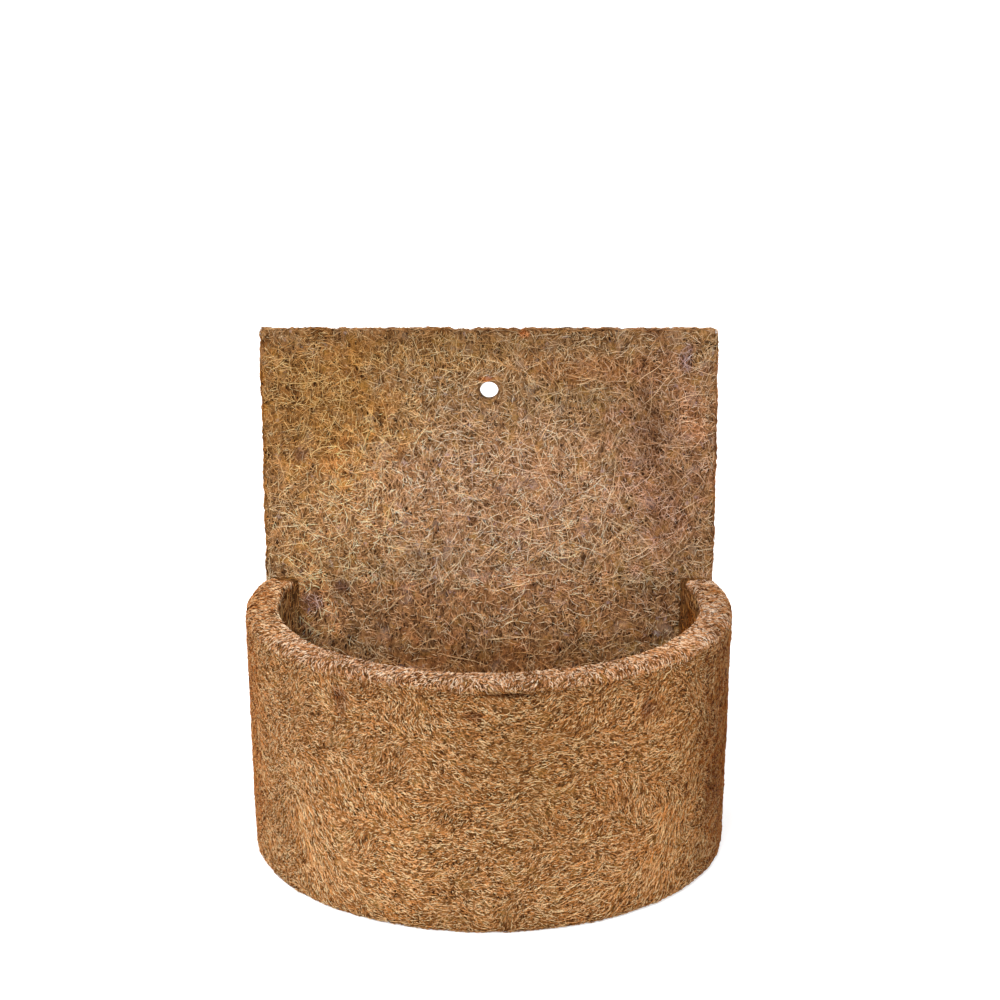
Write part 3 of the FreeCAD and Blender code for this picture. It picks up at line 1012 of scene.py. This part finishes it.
PANEL_TONES_AND_LIGHT = (
    patch(-94, -5, 36, 45, (1.02, 0.90, 0.62)),
    patch(5, -62, 78, 42, (1.43, 1.42, 1.64)),
    patch(-88, -68, 38, 40, (1.30, 1.26, 1.17)),
    patch(98, -35, 30, 62, (0.99, 0.90, 0.97), 0.5),
    patch(88, -21, 9, 20, (0.68, 0.64, 0.60)),
    patch(98, -64, 9, 20, (0.87, 0.85, 0.85)),
    patch(111, -15, 8, 14, (1.26, 1.21, 1.20)),
    patch(-50, -16, 18, 16, (1.18, 1.15, 1.02)),
    patch(-100, -90, 20, 14, (1.17, 1.15, 1.14)),
    patch(60, -88, 22, 14, (1.13, 1.13, 1.15)),
    patch(88, -122, 14, 16, (0.87, 0.86, 0.87)),
    patch(60, 12, 34, 8, (0.86, 0.74, 0.66)),
    # darker and redder low down inside the bowl: painted shade
    patch(0, -170, 125, 24, (0.98, 0.80, 0.68), 0.5),
    # lighter just under the rim inside the bowl: painted light that lifts the bowl's shade
    patch(0, -126, 108, 18, (1.32, 1.22, 1.24)),
    patch(-35, 22, 42, 14, (1.02, 0.98, 0.84)),
    patch(0, 30, 130, 7, (0.84, 0.80, 0.76), 0.5),
    patch(20, 12, 80, 7, (1.10, 1.07, 1.04)),
    patch(-125.5, -40, 2.4, 90, (0.86, 0.70, 0.48), 0.5),
    patch(125.5, -60, 2.2, 90, (0.84, 0.68, 0.56), 0.5),
    patch(0, 36, 130, 3.0, (0.76, 0.64, 0.54), 0.5),
    # lighter where the left wall casts its shadow on the panel: painted light
    patch(-103, -128, 16, 24, (1.40, 1.36, 1.32)),
    patch(-99, -122, 5, 7, (0.58, 0.57, 0.80), 0.5),
    patch(-82.5, -112, 4, 4, (0.58, 0.57, 0.80), 0.5),
    patch(-104, -36, 4, 4, (0.66, 0.62, 0.80), 0.5),
    patch(108, 19, 3.4, 9, (0.80, 0.82, 1.20), 0.5),
    patch(-2, 10, 10, 2.2, (0.95, 1.05, 1.25), 0.5),
    patch(-2, 6.6, 4, 1.4, (1.10, 0.70, 0.45), 0.5),
    patch(19.5, 32, 3, 2, (1.15, 0.72, 0.50), 0.5),
)
BOWL_TONES_AND_LIGHT = (
    # darker at the right end of the wall, away from the key light: painted shade
    patch(126, -175, 26, 90, (0.51, 0.33, 0.17), y=AXIS_Y, deep=70.0),
    # paler and cooler at the right end of the rim: painted highlight
    patch(122, -104, 16, 8, (1.12, 1.30, 1.56), y=AXIS_Y, deep=75.0),
    patch(-122, -108, 20, 7, (0.92, 0.88, 0.76), y=AXIS_Y, deep=70.0),
    patch(-131, -175, 16, 90, (0.84, 0.63, 0.42), y=AXIS_Y, deep=60.0),
    patch(80, -165, 40, 70, (1.05, 1.01, 0.97), y=AXIS_Y - 100 * MM, deep=60.0),
    patch(-75, -165, 45, 70, (1.08, 1.08, 1.10), y=AXIS_Y - 100 * MM, deep=60.0),
    # a darker band under the front of the rim: painted shade under its rounded edge
    patch(0, -113, 100, 4.5, (0.82, 0.78, 0.74), y=-150 * MM, deep=60.0),
    patch(25, -155, 30, 38, (0.91, 0.90, 0.86), y=-175 * MM, deep=30.0),
    patch(-48, -195, 34, 30, (1.08, 1.08, 1.06), y=-160 * MM, deep=40.0),
    patch(0, -241, 100, 7, (0.84, 0.80, 0.74), y=-150 * MM, deep=60.0),
    patch(95, -170, 25, 60, (1.0, 0.97, 0.90), y=-110 * MM, deep=50.0),
    # darker in the dents under the rim: painted shade in the creases, and darker strands along the front
    # crease
    patch(-75, -124, 3.5, 7, (0.62, 0.50, 0.50), y=-153 * MM, deep=8.0),
    patch(82, -130, 3.5, 6, (0.62, 0.50, 0.50), y=-150 * MM, deep=8.0),
    patch(10, -114, 10, 1.2, (0.50, 0.40, 0.34), 0.5, y=-178 * MM, deep=8.0),
    patch(-7, -125, 5, 2.2, (0.66, 0.54, 0.50), y=-178 * MM, deep=8.0),
)
INSIDE_PAINTED_LIGHT = (
    # lighter on the inside of the left wall, which the key light leaves in shade: painted light
    patch(-108, -133, 12, 30, (1.90, 1.78, 1.72), y=-25 * MM, deep=38.0),
    # darker on the inside of the right wall: painted shade
    patch(108, -142, 12, 30, (0.80, 0.46, 0.18), y=-25 * MM, deep=38.0),
)


def build():
    groups = {"tangle": tangle_group(), "mottle": mottle_group(),
              "panel": tone_and_light_group("panel_tones_and_painted_light", PANEL_TONES_AND_LIGHT),
              "bowl": tone_and_light_group("bowl_tones_and_painted_light", BOWL_TONES_AND_LIGHT),
              "inside": tone_and_light_group("inside_painted_light", INSIDE_PAINTED_LIGHT)}
    panel_tints = ((0.36, 0.255, 0.19, 0.35), (0.58, 0.27, 0.10, 0.20), (0.64, 0.35, 0.07, 0.20),
                   (0.40, 0.305, 0.29, 0.50), (0.55, 0.43, 0.35, 0.6))
    bowl_tints = ((0.48, 0.30, 0.12, 0.25), (0.60, 0.26, 0.08, 0.15), (0.66, 0.37, 0.09, 0.15),
                  (0.60, 0.34, 0.15, 0.0), (0.62, 0.52, 0.40, 0.5))
    rim_tints = ((0.60, 0.40, 0.27, 0.3), (0.62, 0.29, 0.13, 0.25), (0.70, 0.42, 0.15, 0.15),
                 (0.60, 0.34, 0.15, 0.0), (0.60, 0.50, 0.42, 0.5))
    straw_tints = ((0.5, 0.4, 0.3, 0.2), (0.6, 0.3, 0.12, 0.3), (0.66, 0.42, 0.12, 0.2), (0.5, 0.4, 0.3, 0.0),
                   (0.7, 0.6, 0.5, 0.4))
    # the boards are coir brown but darker than the loose fibres, with nearly black gaps: painted shade for
    # the depth between the fibres
    panel_felt = matted_felt("panel_felt", groups, "panel", (0.02, 0.008, 0.003), (0.20, 0.092, 0.034),
                             (0.44, 0.24, 0.10), panel_tints)
    bowl_felt = matted_felt("bowl_felt", groups, "bowl", (0.02, 0.007, 0.002), (0.18, 0.073, 0.021),
                            (0.38, 0.175, 0.058), bowl_tints)
    panel_strand = loose_fibre("panel_strand", groups, "panel", (0.09, 0.033, 0.009), (0.70, 0.385, 0.160),
                               (1.0, 0.81, 0.52), panel_tints, play=0.4)
    bowl_strand = loose_fibre("bowl_strand", groups, "bowl", (0.12, 0.034, 0.0055), (0.770, 0.328, 0.098),
                              (1.0, 0.75, 0.42), bowl_tints, play=0.05)
    rim_strand = loose_fibre("rim_strand", groups, "bowl", (0.12, 0.038, 0.010), (0.765, 0.355, 0.140),
                             (1.0, 0.79, 0.57), rim_tints, play=0.1)
    inner_strand = loose_fibre("inner_strand", groups, "inside", (0.14, 0.056, 0.017), (0.50, 0.265, 0.095),
                               (0.68, 0.46, 0.22), bowl_tints)
    straw = loose_fibre("straw", groups, "panel", (0.50, 0.29, 0.12), (0.74, 0.50, 0.25), (0.94, 0.74, 0.46),
                        straw_tints, 0.45)
    keep_piece("panel_board", rough_panel(), panel_felt, ["back_panel"])
    keep_piece("wall_board", rough_wall(), bowl_felt, ["bowl_wall"])
    keep_piece("base_board", rough_base(), bowl_felt, ["bowl_base"])
    panel_fibres(panel_strand, straw)
    wall_fibres(bowl_strand)
    stray_fibres(bowl_strand)
    rim_fibres(rim_strand)
    inside_fibres(inner_strand)
    edge_fibres(panel_strand)
    base_fibres(inner_strand)
    latex = latex_film(groups)
    for name in ("left_wall_bond", "right_wall_bond", "base_rim_bond", "base_back_bond"):
        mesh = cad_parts[name].data
        mesh.materials.clear()
        mesh.materials.append(latex)


set_camera()
lay_floor()
light_studio()
build()
